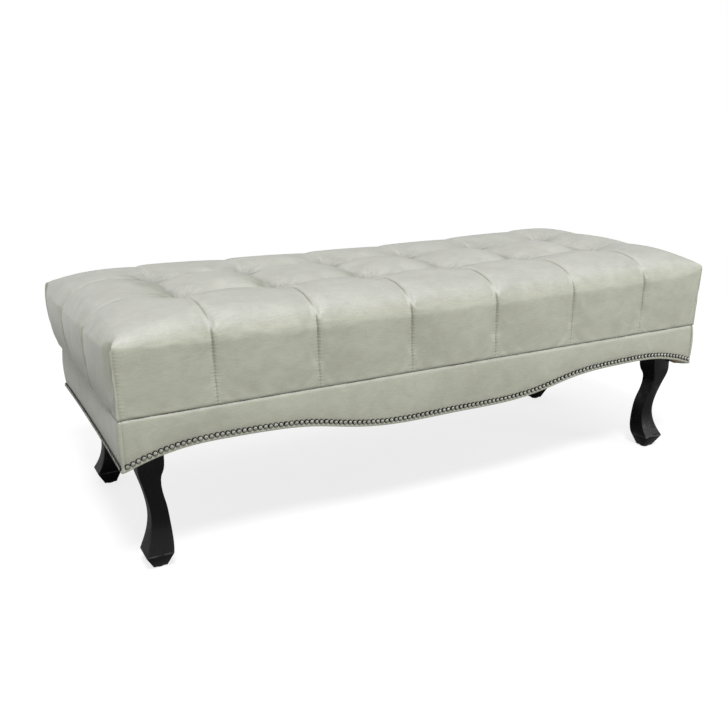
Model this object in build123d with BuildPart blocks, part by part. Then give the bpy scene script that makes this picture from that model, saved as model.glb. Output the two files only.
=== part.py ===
"""Upholstered bench with a biscuit-tufted seat, a scalloped apron and four cabriole legs.

Origin on the floor at the middle of the bench. +X runs along the length, +Y to the rear, +Z up.
"""

from build123d import *
import os

# ---------------------------------------------------------------- driving dimensions (mm)
length = 1450.0
depth = 600.0
seam_height = 337.0          # the seam where the seat cover meets the apron
half_length = length / 2
half_depth = depth / 2

# Biscuits: seven across the length and three across the depth.
tuft_pitch = 214.0
tuft_columns = [(k - 2.5) * tuft_pitch for k in range(6)]
tuft_rows = [-100.0, 100.0]
tuft_height = 496.0
long_edge_height = 490.0     # where a seam meets the top edge
end_edge_height = 500.0
corner_height = 497.0
edge_inset = 10.0            # the top edge's crease, in from the apron's face
biscuit_crown = 42.0         # control points that fill a biscuit

# Frame and skins.
fabric = 2.0
apron_wadding = 6.0
skin = fabric + apron_wadding
rail_thickness = 22.0
deck_thickness = 18.0
deck_top = seam_height - 4.0
deck_bottom = deck_top - deck_thickness
rebate_depth = 11.0
housing_depth = 8.0
cross_rail_height = 44.0
cross_rail_x = 240.0
block_size = 96.0
block_thickness = 28.0
block_bottom = deck_bottom - block_thickness

# Seat filling.
seat_wadding = 12.0
filling_top = tuft_height - 6.0
filling_edge_radius = 20.0
filling_corner_radius = 22.0
cord_diameter = 3.0
cord_sides = 6
cord_hole_diameter = 8.0     # drilled through the deck
toggle_size = (30.0, 10.0, 4.0)
skirt_drop = 25.0            # how far the seat cover's margin runs down over the deck's edge
card_thickness = 1.5
card_width = 12.0

# Legs: insets are measured in from the apron's face, on both faces of the corner alike.
leg_top = block_bottom
glide_thickness = 3.0
glide_diameter = 20.0
leg_outer_line = [(36, leg_top), (36, 222), (42, 190), (53, 148), (58.5, 98), (50.5, 60), (38, 33)]
leg_inner_line = [(88, leg_top), (88, 238), (81, 200), (83, 165), (91, 130), (96, 88), (97, 60), (93.5, 33)]
leg_toe_slope = 0.55         # run per drop where the outer curve reaches the toe
leg_heel_slope = 0.3
leg_base_outer = 54.0
leg_base_inner = 82.0
bolt_inset = 62.0
bolt_diameter = 8.0
bolt_clearance = 0.05
bolt_in_leg = 40.0
nut_barrel_diameter = 10.0
nut_barrel_length = 11.0
nut_flange_diameter = 22.0
nut_flange_thickness = 1.6
nut_clearance = 0.3
nut_seat = deck_bottom - nut_flange_thickness - nut_clearance

# Nails.
nail_pitch = 11.0
nail_diameter = 10.8
nail_height = 3.4
nail_sides = 8
nail_rise = 11.5             # row centre above the apron's lower edge

# Dust cover.
dust_thickness = 1.0
dust_turn = 12.0             # margin turned down against the rails
dust_gap = 4.0               # between its corner notch and the leg
dust_top = deck_bottom - cross_rail_height

# Lower edge of the long aprons, middle to corner, and of the end aprons: (distance, height).
long_edge = [(0, 228), (190, 231.5), (275, 245), (335, 257), (410, 264.5), (500, 267), (600, 264.5),
             (668, 252), (half_length, 233)]
end_edge = [(0, 240), (150, 238.5), (half_depth, 233)]

front, rear, left, right = "front", "rear", "left", "right"
corners = {
    "front_left": (-1, -1),
    "front_right": (1, -1),
    "rear_left": (-1, 1),
    "rear_right": (1, 1),
}

os.makedirs("parts", exist_ok=True)


def write(part, name):
    """Label a finished piece and write it as its own STEP file."""
    part.label = name
    export_step(part, f"parts/{name}.step")


def both_halves(points):
    """Mirror an edge given from the middle outwards, so that it runs from side to side."""
    return [(-x, z) for x, z in reversed(points[1:])] + list(points)


def outline_above(plane, points, lift, half_width, top):
    """Sketch what lies above a scalloped lower edge, within a width and up to a height."""
    with BuildSketch(plane) as outline:
        with BuildLine():
            edge = Spline(*[(x, z + lift) for x, z in both_halves(points)])
            end_left, end_right = edge @ 0, edge @ 1
            Polyline(end_right, (end_right.X, top), (end_left.X, top), end_left)
        make_face()
        Rectangle(2 * half_width, 2 * top, mode=Mode.INTERSECT)
    return outline.sketch


def side_plane(side, inset):
    """Vertical plane of one side: its X runs level, its Y is height and its normal points outwards."""
    outward = {front: (0, -1), rear: (0, 1), left: (-1, 0), right: (1, 0)}[side]
    reach = (half_depth if side in (front, rear) else half_length) - inset
    along = (-outward[1], outward[0], 0)
    return Plane(origin=(outward[0] * reach, outward[1] * reach, 0), x_dir=along, z_dir=(*outward, 0))


def side_edge(side):
    return long_edge if side in (front, rear) else end_edge


# ---------------------------------------------------------------- seat cover (the skilled piece)
# Each biscuit is one bicubic Bezier face. Neighbours share their boundary control points, so the
# seams meet exactly and keep their crease. The rounded edge runs on smoothly into the side faces.
lattice_x = [-half_length + edge_inset, *tuft_columns, half_length - edge_inset]
lattice_y = [-half_depth + edge_inset, *tuft_rows, half_depth - edge_inset]
base_x = [-half_length, *tuft_columns, half_length]
base_y = [-half_depth, *tuft_rows, half_depth]
columns, rows = len(lattice_x) - 1, len(lattice_y) - 1
thirds = [0.0, 1 / 3, 2 / 3, 1.0]
side_lower_rise = 68.0       # height of the side faces' lower handles above the seam
corner_bulge = 5.0
corner_roll = 9.0            # how far the corner seam's upper handle stands out
corner_drop = 9.0

# How far control points arch a seam: between tufts, from a tuft to the edge, and along the edge.
column_arches = {"tufts": 25.0, "outer": 37.0, "edge": 8.0}
row_arches = {"tufts": 21.0, "outer": 26.0, "edge": 11.0}

# Side faces: reach of the upper handle over the edge, and bulge at a seam and at a biscuit.
long_side = (18.0, 2.0, 10.0)
end_side = (26.0, 6.0, 16.0)


def between(a, b, t):
    return a + (b - a) * t


def node_height(i, j):
    """Height of a seam crossing: a tuft, a point on the top edge or a corner."""
    on_end, on_long = i in (0, columns), j in (0, rows)
    if on_end and on_long:
        return corner_height
    return end_edge_height if on_end else long_edge_height if on_long else tuft_height


def arch(arches, line, last_line, cell, last_cell):
    """Arch of the seam on one lattice line, over one cell of its length."""
    if line in (0, last_line):
        return arches["edge"]
    return arches["outer"] if cell in (0, last_cell) else arches["tufts"]


def biscuit_net(i, j):
    """4 x 4 control points of the biscuit between two lattice columns and two lattice rows."""
    net = []
    for a, u in enumerate(thirds):
        line = []
        for b, v in enumerate(thirds):
            low = between(node_height(i, j), node_height(i + 1, j), u)
            high = between(node_height(i, j + 1), node_height(i + 1, j + 1), u)
            lift = 0.0
            if a in (1, 2) and b in (1, 2):
                lift = biscuit_crown
            elif a in (1, 2):
                lift = arch(row_arches, j + b // 3, rows, i, columns - 1)
            elif b in (1, 2):
                lift = arch(column_arches, i + a // 3, columns, j, rows - 1)
            x = between(lattice_x[i], lattice_x[i + 1], u)
            y = between(lattice_y[j], lattice_y[j + 1], v)
            line.append(Vector(x, y, between(low, high, v) + lift))
        net.append(line)
    return net


def corner_column(sx, sy):
    """Control points of the vertical corner seam, from the apron seam to the top edge."""
    x, y = sx * half_length, sy * half_depth
    return [
        Vector(x, y, seam_height),
        Vector(x + sx * corner_bulge, y + sy * corner_bulge, seam_height + side_lower_rise),
        Vector(x + sx * corner_roll, y + sy * corner_roll, corner_height - corner_drop),
        Vector(x - sx * edge_inset, y - sy * edge_inset, corner_height),
    ]


def side_column(apex, inner, base, outward, roll, bulge):
    """Control points of one column of a side face, tangent to the top face at its apex."""
    run = roll / (inner - apex).dot(-outward)
    upper = apex + (apex - inner) * run
    lower = base + outward * bulge + Vector(0, 0, side_lower_rise)
    return [base, lower, upper, apex]


def side_face(top, base_start, base_end, outward):
    """Side face below an edge biscuit, given its apex points with their inner neighbours."""
    roll, seam_bulge, biscuit_bulge = long_side if outward.Y else end_side
    net = []
    for a, (apex, inner) in enumerate(top):
        base = base_start + (base_end - base_start) * thirds[a]
        on_corner = abs(base.X) == half_length and abs(base.Y) == half_depth
        if on_corner:
            net.append(corner_column(1 if base.X > 0 else -1, 1 if base.Y > 0 else -1))
        else:
            bulge = biscuit_bulge if a in (1, 2) else seam_bulge
            net.append(side_column(apex, inner, base, outward, roll, bulge))
    return Face.make_bezier_surface(net)


cover_faces = []
for i in range(columns):
    for j in range(rows):
        cover_faces.append(Face.make_bezier_surface(biscuit_net(i, j)))
for i in range(columns):
    for j, near, far, y, out in ((0, 0, 1, base_y[0], -1), (rows - 1, 3, 2, base_y[-1], 1)):
        edge_pairs = [(line[near], line[far]) for line in biscuit_net(i, j)]
        start, end = Vector(base_x[i], y, seam_height), Vector(base_x[i + 1], y, seam_height)
        cover_faces.append(side_face(edge_pairs, start, end, Vector(0, out, 0)))
for j in range(rows):
    for i, near, far, x, out in ((0, 0, 1, base_x[0], -1), (columns - 1, 3, 2, base_x[-1], 1)):
        net = biscuit_net(i, j)
        edge_pairs = [(net[near][b], net[far][b]) for b in range(4)]
        start, end = Vector(x, base_y[j], seam_height), Vector(x, base_y[j + 1], seam_height)
        cover_faces.append(side_face(edge_pairs, start, end, Vector(out, 0, 0)))
cover_skin = Shell(cover_faces)
cover_base = Face(Wire(cover_skin.edges().group_by(Axis.Z)[0]))
cover_form = Solid(Shell([*cover_skin.faces(), cover_base]))


def filling(inset):
    """Form of the filling, with its rounded top, in from the inside of the seat cover."""
    with BuildPart() as form:
        with BuildSketch(Plane.XY.offset(deck_top)):
            RectangleRounded(length - 2 * (skin + inset), depth - 2 * (skin + inset),
                             filling_corner_radius)
        extrude(amount=filling_top - inset - deck_top)
        top_edges = form.faces().sort_by(Axis.Z)[-1].edges()
        fillet(top_edges, filling_edge_radius - inset)
    return form.part


cavity_form = filling(0.0)
foam_form = filling(seat_wadding)

with BuildPart() as seat_cover:
    add(cover_form)
    add(cavity_form, mode=Mode.SUBTRACT)
    with BuildSketch(Plane.XY.offset(seam_height)):
        Rectangle(length - 2 * (skin - fabric), depth - 2 * (skin - fabric))
        Rectangle(length - 2 * skin, depth - 2 * skin, mode=Mode.SUBTRACT)
    extrude(amount=-skirt_drop)
write(seat_cover.part, "seat_cover")

tufts = [(x, y) for x in tuft_columns for y in tuft_rows]

with BuildPart() as wadding:
    add(cavity_form)
    add(foam_form, mode=Mode.SUBTRACT)
    with BuildSketch(Plane.XY.offset(filling_top)):
        with Locations(*tufts):
            RegularPolygon(cord_diameter / 2, cord_sides)
    extrude(amount=-seat_wadding, mode=Mode.SUBTRACT)
write(wadding.part, "wadding")

with BuildPart() as foam_core:
    add(foam_form)
    with BuildSketch(Plane.XY.offset(deck_top)):
        with Locations(*tufts):
            RegularPolygon(cord_diameter / 2, cord_sides)
    extrude(amount=filling_top, mode=Mode.SUBTRACT)
write(foam_core.part, "foam_core")

# ---------------------------------------------------------------- deck, tuft cords and toggles
with BuildPart() as seat_deck:
    with BuildSketch(Plane.XY.offset(deck_bottom)):
        Rectangle(length - 2 * skin, depth - 2 * skin)
        with Locations(*tufts):
            Circle(cord_hole_diameter / 2, mode=Mode.SUBTRACT)
    extrude(amount=deck_thickness)
write(seat_deck.part, "seat_deck")

with BuildPart() as tuft_cords:
    with BuildSketch(Plane.XY.offset(deck_bottom)):
        with Locations(*tufts):
            RegularPolygon(cord_diameter / 2, cord_sides)
    extrude(amount=filling_top - deck_bottom)
write(tuft_cords.part, "tuft_cords")

with BuildPart() as tuft_toggles:
    with Locations(*[(x, y, deck_bottom) for x, y in tufts]):
        Box(*toggle_size, align=(Align.CENTER, Align.CENTER, Align.MAX))
write(tuft_toggles.part, "tuft_toggles")

# ---------------------------------------------------------------- rails and cross rails
rail_half_length = half_length - skin
rail_half_depth = half_depth - skin
end_rail_half = rail_half_depth - rail_thickness + rebate_depth
cross_rail_half = rail_half_depth - rail_thickness + housing_depth

for side, sign in ((front, -1), (rear, 1)):
    inner_face = sign * (rail_half_depth - rail_thickness)
    with BuildPart() as rail:
        extrude(outline_above(side_plane(side, skin), long_edge, fabric, rail_half_length, deck_bottom),
                amount=-rail_thickness)
        with Locations(*[(sx * rail_half_length, inner_face, 0) for sx in (-1, 1)]):
            Box(2 * rail_thickness, 2 * rebate_depth, 2 * deck_top, mode=Mode.SUBTRACT)
        with Locations(*[(sx * cross_rail_x, inner_face, deck_bottom) for sx in (-1, 1)]):
            Box(rail_thickness, 2 * housing_depth, 2 * cross_rail_height, mode=Mode.SUBTRACT)
    write(rail.part, f"rail_{side}")

for side in (left, right):
    with BuildPart() as rail:
        extrude(outline_above(side_plane(side, skin), end_edge, fabric, end_rail_half, deck_bottom),
                amount=-rail_thickness)
    write(rail.part, f"rail_{side}")

for side, sx in ((left, -1), (right, 1)):
    with BuildPart() as cross_rail:
        with Locations((sx * cross_rail_x, 0, deck_bottom)):
            Box(rail_thickness, 2 * cross_rail_half, cross_rail_height,
                align=(Align.CENTER, Align.CENTER, Align.MAX))
    write(cross_rail.part, f"cross_rail_{side}")

# ---------------------------------------------------------------- corner blocks, bolts and nuts
block_inset = skin + rail_thickness + block_size / 2
for name, (sx, sy) in corners.items():
    bolt_x, bolt_y = sx * (half_length - bolt_inset), sy * (half_depth - bolt_inset)
    with BuildPart() as corner_block:
        with Locations((sx * (half_length - block_inset), sy * (half_depth - block_inset), block_bottom)):
            Box(block_size, block_size, block_thickness, align=(Align.CENTER, Align.CENTER, Align.MIN))
        with Locations((bolt_x, bolt_y, deck_bottom)):
            CounterBoreHole(nut_barrel_diameter / 2 + nut_clearance,
                            nut_flange_diameter / 2 + nut_clearance, deck_bottom - nut_seat)
    write(corner_block.part, f"corner_block_{name}")

bolt_places = [(sx * (half_length - bolt_inset), sy * (half_depth - bolt_inset))
               for sx, sy in corners.values()]

with BuildPart() as t_nuts:
    with BuildSketch(Plane.XY.offset(nut_seat)):
        with Locations(*bolt_places):
            Circle(nut_flange_diameter / 2)
    extrude(amount=nut_flange_thickness)
    with BuildSketch(Plane.XY.offset(nut_seat)):
        with Locations(*bolt_places):
            Circle(nut_barrel_diameter / 2)
    extrude(amount=-nut_barrel_length)
    with BuildSketch(Plane.XY.offset(nut_seat + nut_flange_thickness)):
        with Locations(*bolt_places):
            Circle(bolt_diameter / 2 + bolt_clearance)
    extrude(amount=-nut_barrel_length - nut_flange_thickness, mode=Mode.SUBTRACT)
write(t_nuts.part, "t_nuts")

with BuildPart() as hanger_bolts:
    with BuildSketch(Plane.XY.offset(leg_top - bolt_in_leg)):
        with Locations(*bolt_places):
            Circle(bolt_diameter / 2)
    extrude(amount=bolt_in_leg + nut_seat + nut_flange_thickness - leg_top)
write(hanger_bolts.part, "hanger_bolts")


# ---------------------------------------------------------------- legs and glides
def leg_profile(plane, sign, reach):
    """Closed outline of the leg on one face, drawn from the apron's face inwards."""
    outer = [(sign * (reach - inset), z) for inset, z in leg_outer_line]
    inner = [(sign * (reach - inset), z) for inset, z in leg_inner_line]
    base_outer = (sign * (reach - leg_base_outer), glide_thickness)
    base_inner = (sign * (reach - leg_base_inner), glide_thickness)
    with BuildSketch(plane) as profile:
        with BuildLine():
            Line(outer[0], outer[1])
            Spline(*outer[1:], tangents=[(0, -1), (sign * leg_toe_slope, -1)])
            Polyline(outer[-1], base_outer, base_inner, inner[-1])
            Spline(*reversed(inner[1:]), tangents=[(-sign * leg_heel_slope, 1), (0, 1)])
            Polyline(inner[1], inner[0], outer[0])
        make_face()
    return profile.sketch


for name, (sx, sy) in corners.items():
    with BuildPart() as leg:
        extrude(leg_profile(Plane.XZ, sx, half_length), amount=-sy * half_depth)
        extrude(leg_profile(Plane.YZ, sy, half_depth), amount=sx * half_length, mode=Mode.INTERSECT)
        with Locations((sx * (half_length - bolt_inset), sy * (half_depth - bolt_inset), leg_top)):
            Hole(bolt_diameter / 2 + bolt_clearance, depth=bolt_in_leg)
    write(leg.part, f"leg_{name}")

    base_centre = (leg_base_outer + leg_base_inner) / 2
    with BuildPart() as glide:
        with BuildSketch(Plane.XY):
            with Locations((sx * (half_length - base_centre), sy * (half_depth - base_centre))):
                Circle(glide_diameter / 2)
        extrude(amount=glide_thickness)
    write(glide.part, f"glide_{name}")

# ---------------------------------------------------------------- apron padding, card and covers
skirt_bottom = seam_height - skirt_drop
card_top = seam_height - fabric
overcut = 1.0

with BuildPart() as tack_strips:
    card_outer_x = half_length - (skin - fabric) + card_thickness
    card_outer_y = half_depth - (skin - fabric) + card_thickness
    with BuildSketch(Plane.XY.offset(card_top)):
        Rectangle(2 * card_outer_x, 2 * card_outer_y)
        Rectangle(2 * (card_outer_x - card_thickness), 2 * (card_outer_y - card_thickness),
                  mode=Mode.SUBTRACT)
    extrude(amount=-card_width)
write(tack_strips.part, "tack_strips")

for side in (front, rear, left, right):
    long_side = side in (front, rear)
    edge = side_edge(side)
    cover_half = half_length if long_side else half_depth - fabric
    pad_half = half_length - fabric if long_side else half_depth - skin
    wrap_half = half_length - skin - rail_thickness if long_side else cover_half
    wrap_reach = skin - fabric + rail_thickness
    inside = side_plane(side, fabric)

    with BuildPart() as padding:
        extrude(outline_above(inside, edge, fabric, pad_half, skirt_bottom), amount=-apron_wadding)
    write(padding.part, f"apron_padding_{side}")

    with BuildPart() as apron_cover:
        extrude(outline_above(side_plane(side, 0), edge, 0, cover_half, seam_height), amount=-fabric)
        extrude(outline_above(inside, edge, 0, wrap_half, deck_bottom), amount=-wrap_reach)
        extrude(outline_above(inside, edge, fabric, wrap_half + overcut, deck_bottom + overcut),
                amount=-wrap_reach, mode=Mode.SUBTRACT)
    write(apron_cover.part, f"apron_cover_{side}")

# ---------------------------------------------------------------- nail trim
with BuildPart() as nail_head:
    with BuildSketch() as head_outline:
        RegularPolygon(nail_diameter / 2, nail_sides, rotation=180 / nail_sides)
    loft([head_outline.sketch, Vertex(0, 0, nail_height)])


def nail_places(side):
    """Evenly spaced points, on the side's plane, along a row that follows the apron's lower edge."""
    row = Spline(*[(x, z + nail_rise) for x, z in both_halves(side_edge(side))])
    margin = nail_pitch if side in (front, rear) else nail_pitch / 2 + fabric
    count = int((row.length - 2 * margin) / nail_pitch) + 1
    start = (row.length - (count - 1) * nail_pitch) / 2
    return [row.position_at(start + k * nail_pitch, position_mode=PositionMode.LENGTH)
            for k in range(count)]


for side in (front, rear, left, right):
    places = nail_places(side)
    with BuildPart(side_plane(side, 0)) as nail_trim:
        with Locations(*places):
            add(nail_head.part)
    write(nail_trim.part, f"nail_trim_{side}")

# ---------------------------------------------------------------- dust cover
dust_half_x = half_length - skin - rail_thickness
dust_half_y = half_depth - skin - rail_thickness
notch = leg_inner_line[0][0] + dust_gap - skin - rail_thickness

with BuildPart() as dust_cover:
    with BuildSketch(Plane.XY.offset(dust_top)):
        Rectangle(2 * dust_half_x, 2 * dust_half_y)
    extrude(amount=-dust_turn)
    with BuildSketch(Plane.XY.offset(dust_top - dust_thickness)):
        Rectangle(2 * (dust_half_x - dust_thickness), 2 * (dust_half_y - dust_thickness))
    extrude(amount=-dust_turn, mode=Mode.SUBTRACT)
    with Locations(*[(sx * dust_half_x, sy * dust_half_y, dust_top) for sx, sy in corners.values()]):
        Box(2 * notch, 2 * notch, 4 * dust_turn, mode=Mode.SUBTRACT)
write(dust_cover.part, "dust_cover")
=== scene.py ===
import math
import random

import bmesh
import bpy
import numpy as np
from mathutils import Matrix, Vector


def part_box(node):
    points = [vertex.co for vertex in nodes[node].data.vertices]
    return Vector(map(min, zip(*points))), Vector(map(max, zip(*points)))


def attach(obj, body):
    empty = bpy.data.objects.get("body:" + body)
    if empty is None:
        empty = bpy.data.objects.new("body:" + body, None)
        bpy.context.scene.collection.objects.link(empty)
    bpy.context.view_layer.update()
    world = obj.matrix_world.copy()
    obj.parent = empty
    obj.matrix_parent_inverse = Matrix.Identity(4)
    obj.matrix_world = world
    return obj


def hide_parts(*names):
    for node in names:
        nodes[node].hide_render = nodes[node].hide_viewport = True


# Upholstered bench with a biscuit-tufted seat, a scalloped apron and four cabriole legs.
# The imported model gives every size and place. All lengths here are in metres.

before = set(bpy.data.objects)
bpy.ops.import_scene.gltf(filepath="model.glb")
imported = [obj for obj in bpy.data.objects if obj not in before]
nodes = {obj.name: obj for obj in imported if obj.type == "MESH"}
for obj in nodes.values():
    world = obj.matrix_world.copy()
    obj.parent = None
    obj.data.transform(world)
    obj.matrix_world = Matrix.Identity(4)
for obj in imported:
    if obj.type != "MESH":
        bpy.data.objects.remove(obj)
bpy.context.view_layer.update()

random.seed(11)

# ---------------------------------------------------------------- places read from the frame
SIDES = ("front", "rear", "left", "right")
LONG_SIDES = ("front", "rear")
CORNERS = ("front_left", "front_right", "rear_left", "rear_right")
OUTWARD = {"front": (0, -1), "rear": (0, 1), "left": (-1, 0), "right": (1, 0)}

apron_low, apron_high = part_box("apron_cover_front")
half_length = apron_high.x
half_depth = -apron_low.y
seam_z = apron_high.z

cord_low, cord_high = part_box("tuft_cords")
cord_radius = 0.0015
tuft_columns = [cord_low.x + cord_radius + k * (cord_high.x - cord_low.x - 2 * cord_radius) / 5
                for k in range(6)]
tuft_row = cord_high.y - cord_radius
tuft_rows = [-tuft_row, tuft_row]

# ---------------------------------------------------------------- sizes of the seat cushion
top_z = 0.483                # the seat's top edge, before its panels are filled
edge_radius = 0.022
wide_cell, roll_cells = 0.014, 4         # widest cells of a panel, and cells over the rolled edge
# Cells on either side of a seam end at these distances from it.
seam_bands = (0.0022, 0.0055, 0.010, 0.016, 0.024, 0.034, 0.046, 0.060, 0.076, 0.092)
dome, dome_reach = 0.047, 0.047          # how far the middle of the seat rises above its edge
tuft_depth, tuft_reach = 0.0335, 0.046   # the hollow round each tuft
fold_depth, fold_reach = 0.0200, 0.030   # folds from tuft to tuft
seam_depth, seam_reach = 0.0035, 0.026   # sewn seams from the tufts over the edge
seam_start_depth = 0.007     # how much deeper they are where they leave the tuft
end_swell = 0.0095           # how far the end faces swell at half height
end_depth, end_reach = 0.0050, 0.026     # folds from the tufts to the ends
pillow, pillow_reach = 0.0075, 0.030     # how far the wall panels swell, and how soon beside a seam
end_pillow_share = 0.55      # the panels of the ends swell by this share of it
seam_set_in = 0.0040         # seams are pulled in behind the line of the panels
# How far each top corner leans out along X and along Y, how much higher it is stuffed, and how
# far its sewn point stands up out of the roll.
corner_lean = {(-1, -1): (0.003, 0.002, 0.002, 0), (1, -1): (0.010, 0.003, 0.009, 0.65),
               (-1, 1): (0.018, 0.013, 0.011, 0.9), (1, 1): (0.008, 0.010, 0.019, 0.5)}
# A hollow down each end, close behind the corner seams.
dimple_depth, dimple_inset, dimple_width = 0.010, 0.016, 0.011
panel_growth = 0.010         # the cloth is this share larger than the form it settles on
top_hold, wall_hold, seam_hold = 0.12, 0.45, 1.0   # how firmly its parts are held meanwhile
sim_frames = 16
most_movement = 0.006        # the furthest that settling may move a point
groove, groove_width = 0.0022, 0.0024    # the furrow along a sewn seam
pit, pit_width = 0.004, 0.007            # the pit at the tuft itself
lap, lap_width = 0.0056, 0.0060          # each panel lies a little over the one on its left
corner_stitch = 0.007        # second row of stitching beside each corner seam
stitch_pitch = 0.0068        # from one stitch to the next
base_turn, base_turn_height = 0.0032, 0.007   # the cover's lowest strip rolls in by this much
base_inset = 0.0075          # the cover turns in under the cushion and stops at the deck
deck_z = 0.3334

# ---------------------------------------------------------------- sizes of the apron and trim
fold_inset = 0.007           # the long aprons' folded ends stop this far from the corner
corner_radius = 0.004
rail_face = 0.0078           # the padding lies against the rail this far behind the apron's face
long_padding, end_padding = 0.0014, 0.0026   # how far the padding swells the long and end faces
nail_rise = 0.0115           # the nails' height above the lower edge
nail_radius = 0.0053
nail_dome = 0.0034
nail_stray, nail_lean = 0.0003, 0.10     # how far a nail sits out of line, and leans, at most

# ---------------------------------------------------------------- sizes of the rest
cloth_thickness = 0.0006     # the dust cover
turned_margin = 0.022        # what its margin adds to its flat length and width
toe_z = 0.0335               # height of the worn ridge round a leg's toe
two_plies = 0.004            # thickness of a light and a dark ply of the deck


# ---------------------------------------------------------------- modelling helpers
def choose(piece):
    """Make one piece active, and the only one selected."""
    bpy.ops.object.select_all(action="DESELECT")
    bpy.context.view_layer.objects.active = piece
    piece.select_set(True)


def begin(piece):
    """Open one piece for editing, with nothing selected."""
    choose(piece)
    bpy.ops.object.mode_set(mode="EDIT")
    bpy.ops.mesh.select_all(action="DESELECT")


def end():
    """Back to object mode."""
    bpy.ops.object.mode_set(mode="OBJECT")


def middle(item):
    """Middle of a vertex, an edge or a face."""
    if isinstance(item, bmesh.types.BMVert):
        return item.co
    return sum((v.co for v in item.verts), Vector()) / len(item.verts)


def pick(piece, kind, test):
    """In edit mode, select the verts, edges or faces that pass a test on their middle."""
    bpy.ops.mesh.select_mode(type={"verts": "VERT", "edges": "EDGE", "faces": "FACE"}[kind])
    bpy.ops.mesh.select_all(action="DESELECT")
    cage = bmesh.from_edit_mesh(piece.data)
    for item in getattr(cage, kind):
        if test(item, middle(item)):
            item.select_set(True)
    bmesh.update_edit_mesh(piece.data)


def weld(distance):
    """Merge doubled vertices, turn all faces outward and go back to object mode."""
    bpy.ops.mesh.select_all(action="SELECT")
    bpy.ops.mesh.remove_doubles(threshold=distance)
    bpy.ops.mesh.normals_make_consistent(inside=False)
    end()


def cut(planes):
    """Cut the open piece along planes, each given by a point and a direction."""
    for place, direction in planes:
        bpy.ops.mesh.select_all(action="SELECT")
        bpy.ops.mesh.bisect(plane_co=place, plane_no=direction)


def finished(name):
    """The object just added: named, and with its place put into its mesh."""
    piece = bpy.context.object
    piece.name = name
    choose(piece)
    bpy.ops.object.transform_apply(location=True, rotation=True, scale=True)
    return piece


def add_object(name, data):
    """A new object in the scene that holds the given data."""
    holder = bpy.data.objects.new(name, data)
    bpy.context.scene.collection.objects.link(holder)
    return holder


def apply_modifiers(piece):
    """Put every modifier of a piece into its mesh."""
    choose(piece)
    for modifier in list(piece.modifiers):
        bpy.ops.object.modifier_apply(modifier=modifier.name)


def rows(items, field):
    """A vector field of mesh data as an array, one row for each item."""
    values = np.empty(len(items) * 3, np.float32)
    items.foreach_get(field, values)
    return values.reshape(-1, 3).astype(float)


def places(piece):
    """Where each vertex of a piece is."""
    return rows(piece.data.vertices, "co")


def put_places(piece, points):
    """Move the piece's vertices to an array of points."""
    piece.data.vertices.foreach_set("co", np.asarray(points, float).ravel())
    piece.data.update()


def normals(piece):
    """The direction that each vertex faces."""
    return rows(piece.data.vertex_normals, "vector")


def keep_values(piece, name, values, kind="FLOAT"):
    """Store one value, or one vector, for each vertex as a named attribute."""
    attribute = piece.data.attributes.get(name) or piece.data.attributes.new(name, kind, "POINT")
    field = "vector" if kind == "FLOAT_VECTOR" else "value"
    attribute.data.foreach_set(field, np.asarray(values, np.float32).ravel())


def read_vectors(piece, name):
    """A vector attribute of the vertices as an array."""
    return rows(piece.data.attributes[name].data, "vector")


def smooth_step(value, low, high):
    """0 up to low, 1 from high on, and a soft rise between."""
    t = np.clip((value - low) / (high - low), 0, 1)
    return t * t * (3 - 2 * t)


def bell(distance, width):
    """1 at no distance, falling off on both sides over about the width."""
    return np.exp(-(distance / width) ** 2)


def fade(distance, reach):
    """1 at a seam or an edge, close to 0 a few reaches away from it."""
    return np.exp(-distance / reach)


def shade(piece, degrees=40):
    """Smooth shading, except over edges sharper than the angle."""
    choose(piece)
    bpy.ops.object.shade_smooth_by_angle(angle=math.radians(degrees))


# ---------------------------------------------------------------- seat cushion
def lines_between(seams, edge, roll):
    """Cut lines over half a cushion's width: close together at each seam, wider in a panel."""
    lines = set()
    for seam in seams:
        for band in seam_bands:
            for place in (seam - band, seam + band):
                if abs(place) < edge - roll - 0.004:
                    lines.add(round(place, 5))
        lines.add(round(seam, 5))
    for seam, following in zip(seams[:-1], seams[1:]):
        lines.add(round((seam + following) / 2, 5))
    last = max(seams) + seam_bands[-1]
    span = edge - roll - last
    cells = max(1, round(span / wide_cell))
    for k in range(1, cells):
        place = last + k * span / cells
        lines.update((round(place, 5), round(-place, 5)))
    for k in range(roll_cells):
        place = edge - roll + roll * math.sin(k * math.pi / 2 / roll_cells)
        lines.update((round(place, 5), round(-place, 5)))
    return sorted(lines)


def cushion_blank():
    """The sewn cover before it is filled: a box with a rolled top edge, cut into fine cells."""
    height = top_z - seam_z
    bpy.ops.mesh.primitive_cube_add(size=1, location=(0, 0, seam_z + height / 2),
                                    scale=(2 * half_length, 2 * half_depth, height))
    piece = finished("seat_cushion")
    begin(piece)
    pick(piece, "edges", lambda edge, at: at.z > top_z - 0.001)
    bpy.ops.mesh.bevel(offset=edge_radius, segments=8, profile=0.5, affect="EDGES")
    pick(piece, "faces", lambda face, at: face.normal.z < -0.9)
    bpy.ops.mesh.delete(type="FACE")
    side = top_z - edge_radius - seam_z
    rises = [0.002, 0.006, 0.012, 0.020]
    rises += [0.020 + k * (side - 0.020) / 8 for k in range(1, 8)]
    cut([((x, 0, 0), (1, 0, 0)) for x in lines_between(tuft_columns, half_length, edge_radius)])
    cut([((0, y, 0), (0, 1, 0)) for y in lines_between(tuft_rows, half_depth, edge_radius)])
    cut([((0, 0, seam_z + rise), (0, 0, 1)) for rise in rises])
    weld(0.0002)
    keep_values(piece, "laid", places(piece), "FLOAT_VECTOR")
    return piece


def edge_distances(laid):
    """Distance in from the nearer end, and from the nearer long side."""
    return half_length - np.abs(laid[:, 0]), half_depth - np.abs(laid[:, 1])


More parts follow.
